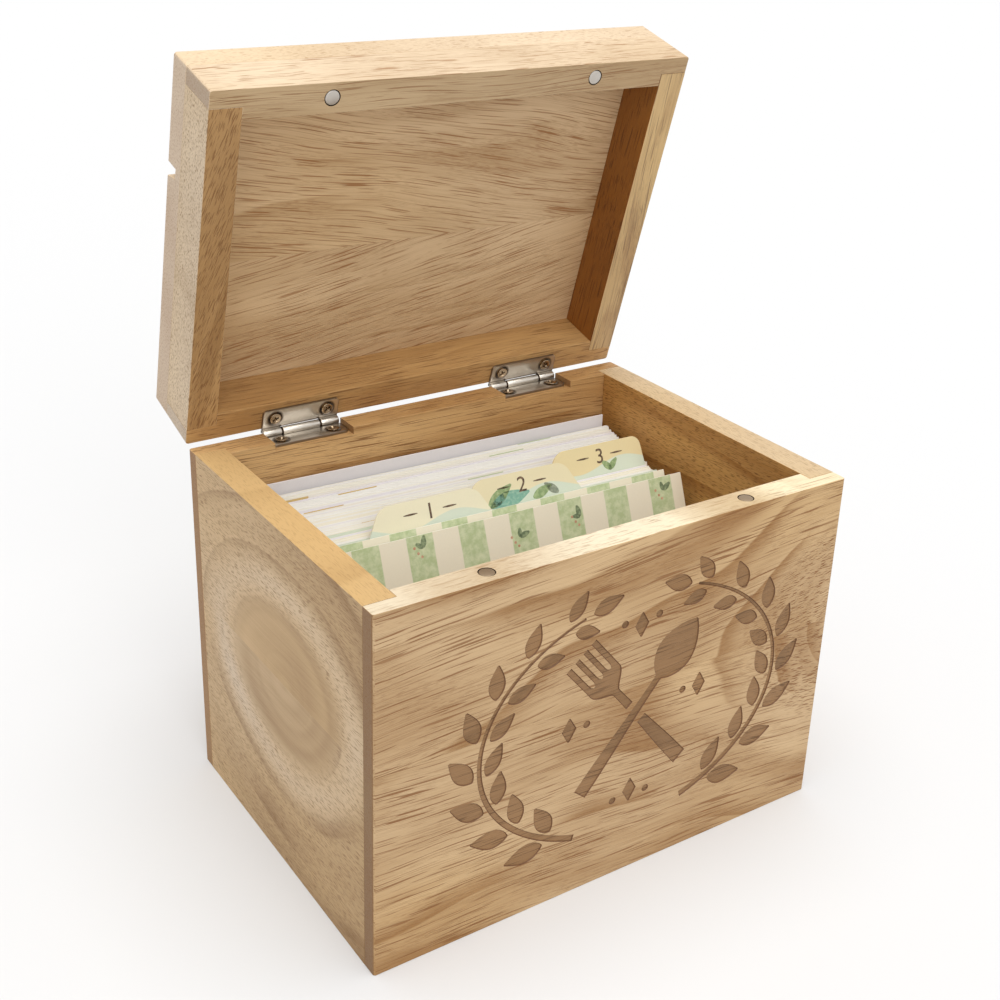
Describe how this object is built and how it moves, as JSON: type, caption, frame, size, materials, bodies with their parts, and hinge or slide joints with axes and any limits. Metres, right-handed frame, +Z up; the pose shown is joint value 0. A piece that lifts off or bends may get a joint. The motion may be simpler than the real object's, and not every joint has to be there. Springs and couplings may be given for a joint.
{
  "type": "recipe card box",
  "caption": "Rebated hardwood box with a framed hinged lid, magnetic closure and a card slot, holding recipe cards and tabbed dividers that lift out.",
  "frame": {"origin": "middle of the underside of the body", "axes": "+X to the right seen from the front, -Y towards the front face, +Z up"},
  "size_m": [0.184, 0.1615, 0.2642],
  "materials": {
    "board_wood": "satin",
    "side_wood": "satin",
    "lid_wood": "satin",
    "hinge_steel": "polished nickel plate",
    "screw_steel": "nickel plate",
    "magnet_nickel": "satin nickel",
    "white_card": "matt",
    "cream_card": "matt",
    "striped_card": "matt"
  },
  "bodies": {
    "box": {"front_board": "board_wood", "back_board": "board_wood", "left_side_board": "side_wood", "right_side_board": "side_wood", "bottom_board": "board_wood", "left_hinge_body_leaf": "hinge_steel", "right_hinge_body_leaf": "hinge_steel", "left_hinge_body_screws": "screw_steel", "right_hinge_body_screws": "screw_steel", "left_body_magnet": "magnet_nickel", "right_body_magnet": "magnet_nickel", "recipe_cards": "white_card"},
    "lid": {"lid_front_rail": "lid_wood", "lid_back_rail": "lid_wood", "lid_left_rail": "lid_wood", "lid_right_rail": "lid_wood", "lid_top_board": "lid_wood", "left_hinge_lid_leaf": "hinge_steel", "left_hinge_pin": "hinge_steel", "right_hinge_lid_leaf": "hinge_steel", "right_hinge_pin": "hinge_steel", "left_hinge_lid_screws": "screw_steel", "right_hinge_lid_screws": "screw_steel", "left_lid_magnet": "magnet_nickel", "right_lid_magnet": "magnet_nickel"},
    "rear_card": {"rear_card": "white_card"},
    "right_tab_divider": {"right_tab_divider": "cream_card"},
    "centre_packet": {"centre_packet": "white_card"},
    "centre_tab_divider": {"centre_tab_divider": "cream_card"},
    "left_packet": {"left_packet": "white_card"},
    "left_tab_divider": {"left_tab_divider": "cream_card"},
    "second_striped_card": {"second_striped_card": "striped_card"},
    "front_packet": {"front_packet": "white_card"},
    "front_striped_card": {"front_striped_card": "striped_card"}
  },
  "joints": [
    {"name": "lid_hinge", "type": "hinge", "parent": "box", "child": "lid", "pos_m": [0, 0.0674, 0.1278], "axis": [-1, 0, 0], "range_deg": [-74, 106]},
    {"name": "rear_card_lift", "type": "slide", "parent": "box", "child": "rear_card", "axis": [0, 0, 1], "range_m": [0, 0.06]},
    {"name": "right_tab_divider_lift", "type": "slide", "parent": "box", "child": "right_tab_divider", "axis": [0.0131, 0.3744, 0.9272], "range_m": [0, 0.08]},
    {"name": "centre_packet_lift", "type": "slide", "parent": "box", "child": "centre_packet", "axis": [0.0131, 0.3744, 0.9272], "range_m": [0, 0.08]},
    {"name": "centre_tab_divider_lift", "type": "slide", "parent": "box", "child": "centre_tab_divider", "axis": [0.0131, 0.3744, 0.9272], "range_m": [0, 0.08]},
    {"name": "left_packet_lift", "type": "slide", "parent": "box", "child": "left_packet", "axis": [0.0131, 0.3744, 0.9272], "range_m": [0, 0.08]},
    {"name": "left_tab_divider_lift", "type": "slide", "parent": "box", "child": "left_tab_divider", "axis": [0.0131, 0.3744, 0.9272], "range_m": [0, 0.08]},
    {"name": "second_striped_card_lift", "type": "slide", "parent": "box", "child": "second_striped_card", "axis": [0.0131, 0.3744, 0.9272], "range_m": [0, 0.08]},
    {"name": "front_packet_lift", "type": "slide", "parent": "box", "child": "front_packet", "axis": [0.0131, 0.3744, 0.9272], "range_m": [0, 0.08]},
    {"name": "front_striped_card_lift", "type": "slide", "parent": "box", "child": "front_striped_card", "axis": [0.0131, 0.3744, 0.9272], "range_m": [0, 0.08]}
  ]
}
